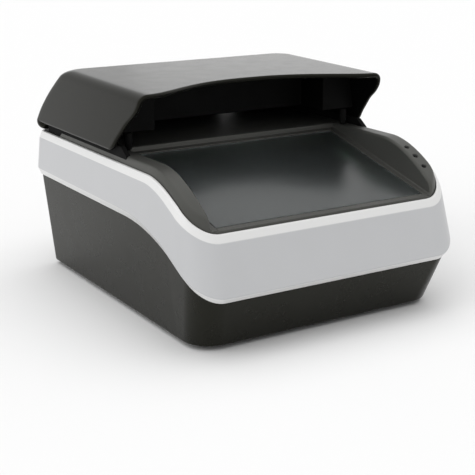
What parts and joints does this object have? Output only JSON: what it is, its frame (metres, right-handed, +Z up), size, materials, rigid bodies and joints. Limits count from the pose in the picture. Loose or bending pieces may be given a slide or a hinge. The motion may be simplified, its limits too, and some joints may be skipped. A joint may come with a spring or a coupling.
{
  "type": "passport scanner",
  "caption": "Desktop document reader with a sloped glass in a dark deck, a silver band round the body and a rear-hinged light hood that lifts off the reading area.",
  "frame": {"origin": "centre of the body in plan, on the surface that the feet stand on", "axes": "+Z up, -Y to the front where the document goes in, +X to the right seen from the front"},
  "size_m": [0.1694, 0.2, 0.1239],
  "materials": {
    "dark_housing": "satin moulded plastic",
    "deck_housing": "moulded plastic with a fine grain",
    "hood_housing": "satin moulded plastic",
    "silver_band": "satin silver paint on plastic",
    "document_glass": "polished",
    "rubber": "matt",
    "black_plastic": "matt black",
    "circuit_board": "satin solder mask",
    "plated_steel": "bright zinc plate",
    "mirror": "front silvered",
    "lamp": "milky diffuser",
    "status_lens": "smoked, unlit",
    "camera_glass": "coated"
  },
  "bodies": {
    "body": {"base_shell": "dark_housing", "bottom_plate": "dark_housing", "silver_band": "silver_band", "top_deck": "deck_housing", "light_seal_left": "rubber", "light_seal_right": "rubber", "document_glass": "document_glass", "glass_gasket": "rubber", "antenna_board": "circuit_board", "optic_box": "black_plastic", "fold_mirror": "mirror", "camera_board": "circuit_board", "lens_barrel": "black_plastic", "camera_lens": "camera_glass", "lamp_bar_left": "lamp", "lamp_bar_right": "lamp", "main_board": "circuit_board", "usb_socket": "plated_steel", "power_socket": "black_plastic", "board_screw_1": "plated_steel", "board_screw_2": "plated_steel", "board_screw_3": "plated_steel", "board_screw_4": "plated_steel", "status_light_1": "status_lens", "status_light_2": "status_lens", "status_light_3": "status_lens", "light_board": "circuit_board", "foot_front_left": "rubber", "foot_front_right": "rubber", "foot_rear_left": "rubber", "foot_rear_right": "rubber", "bottom_screw_1": "plated_steel", "bottom_screw_2": "plated_steel", "bottom_screw_3": "plated_steel", "bottom_screw_4": "plated_steel", "hinge_bracket_left": "hood_housing", "hinge_bracket_right": "hood_housing", "bracket_screw_left": "plated_steel", "bracket_screw_right": "plated_steel"},
    "hood": {"hood_shell": "hood_housing", "hood_liner": "black_plastic", "hood_bumper_left": "rubber", "hood_bumper_right": "rubber", "liner_screw_left": "plated_steel", "liner_screw_right": "plated_steel", "hinge_pin_left": "plated_steel", "hinge_pin_right": "plated_steel"}
  },
  "joints": [
    {"name": "hood_hinge", "type": "hinge", "parent": "body", "child": "hood", "pos_m": [0, 0.094, 0.0898], "axis": [-1, 0, 0], "range_deg": [0, 70]}
  ]
}
